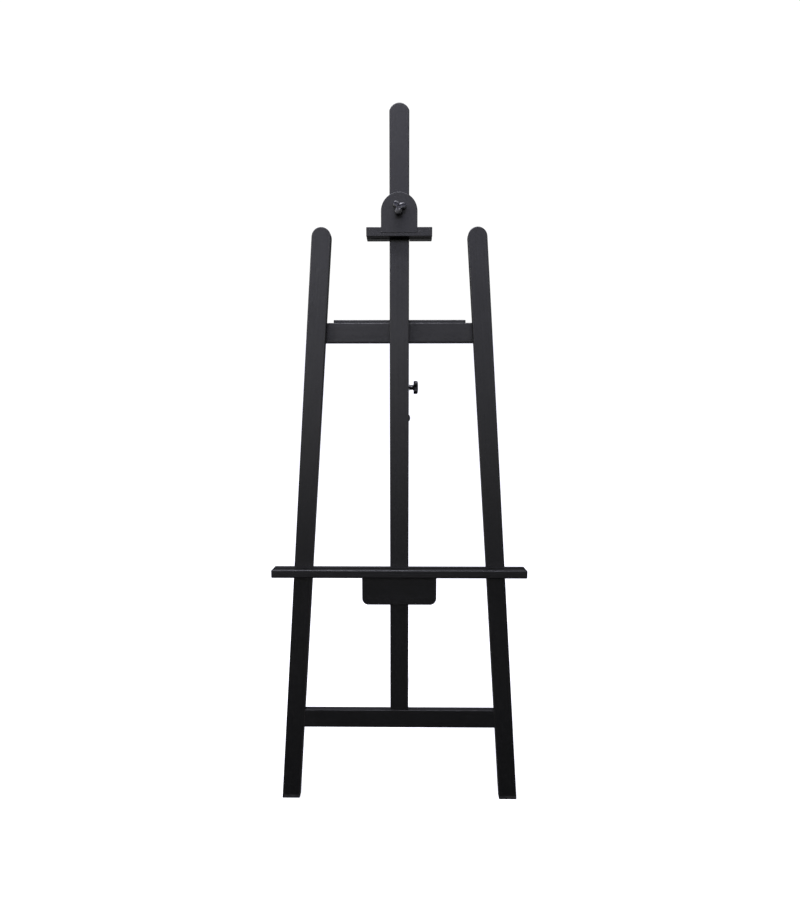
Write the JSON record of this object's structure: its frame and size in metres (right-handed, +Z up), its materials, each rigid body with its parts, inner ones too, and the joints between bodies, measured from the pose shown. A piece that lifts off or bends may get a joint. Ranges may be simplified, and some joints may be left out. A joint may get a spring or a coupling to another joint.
{
  "type": "studio display easel",
  "caption": "Black wooden display easel: splayed front legs, crowned mast, folding rear leg, sliding canvas clamp and grooved tray held by lobed knobs.",
  "frame": {"origin": "on the floor, centre of the easel's box seen from above", "axes": "+Z up, the easel faces -Y, +X to the viewer's right when facing the easel from the front"},
  "size_m": [0.56, 0.5363, 1.4952],
  "materials": {
    "painted_wood": "satin black paint over wood, brushed along the grain",
    "bare_wood": "unfinished beech",
    "black_plastic": "moulded, glossy",
    "black_steel": "black zinc plated, semi-gloss",
    "zinc_steel": "bright zinc plated",
    "brass": "turned",
    "nylon": "natural nylon",
    "rubber": "matte"
  },
  "bodies": {
    "frame": {"backing_plate_screws": "zinc_steel", "fork_cheek_left": "painted_wood", "fork_cheek_right": "painted_wood", "fork_dowels": "bare_wood", "fork_screws": "zinc_steel", "fork_spacer": "painted_wood", "front_foot_pad_left": "rubber", "front_foot_pad_right": "rubber", "front_leg_left": "painted_wood", "front_leg_right": "painted_wood", "lower_rail": "painted_wood", "lower_rail_dowels": "bare_wood", "mast": "painted_wood", "mast_foot_dowels": "bare_wood", "pivot_bolt": "black_steel", "pivot_sleeve_nut": "zinc_steel", "pivot_spacers": "nylon", "rail_backing_plate": "painted_wood", "rail_to_leg_screws": "zinc_steel", "rail_to_mast_screws": "zinc_steel", "upper_rail": "painted_wood"},
    "rear_leg": {"rear_leg": "painted_wood", "rear_foot_pad": "rubber", "pivot_bush": "zinc_steel", "tilt_stud": "zinc_steel", "tilt_washer": "black_steel"},
    "tilt_knob": {"tilt_knob": "black_plastic", "tilt_knob_insert": "brass"},
    "clamp": {"clamp_bar": "painted_wood", "clamp_front_plate": "painted_wood", "clamp_rear_plate": "painted_wood", "clamp_threaded_insert": "brass", "clamp_screws": "zinc_steel"},
    "clamp_knob": {"clamp_knob": "black_plastic", "clamp_knob_stud": "zinc_steel"},
    "tray": {"tray_ledge": "painted_wood", "tray_apron": "painted_wood", "tray_guide_left": "painted_wood", "tray_guide_right": "painted_wood", "tray_rear_plate": "painted_wood", "tray_threaded_insert": "brass", "ledge_dowels": "bare_wood", "tray_screws": "zinc_steel"},
    "tray_knob": {"tray_knob": "black_plastic", "tray_knob_stud": "zinc_steel"}
  },
  "joints": [
    {"name": "rear_leg_tilt", "type": "hinge", "parent": "frame", "child": "rear_leg", "pos_m": [0, 0.00297, 0.85225], "axis": [1, 0, 0], "range_deg": [-28, 4]},
    {"name": "tilt_knob_turn", "type": "hinge", "parent": "rear_leg", "child": "tilt_knob", "pos_m": [0, -0.01798, 0.92531], "axis": [1, 0, 0], "continuous": true},
    {"name": "clamp_slide", "type": "slide", "parent": "frame", "child": "clamp", "axis": [0, 0.2079, 0.9781], "range_m": [-0.155, 0.18]},
    {"name": "clamp_knob_turn", "type": "hinge", "parent": "clamp", "child": "clamp_knob", "pos_m": [0, -0.0243, 1.29152], "axis": [0, 0.9781, -0.2079], "continuous": true},
    {"name": "tray_slide", "type": "slide", "parent": "frame", "child": "tray", "axis": [0, 0.2079, 0.9781], "range_m": [-0.24, 0.3]},
    {"name": "tray_knob_turn", "type": "hinge", "parent": "tray", "child": "tray_knob", "pos_m": [0, -0.12361, 0.4876], "axis": [0, 0.9781, -0.2079], "continuous": true}
  ]
}
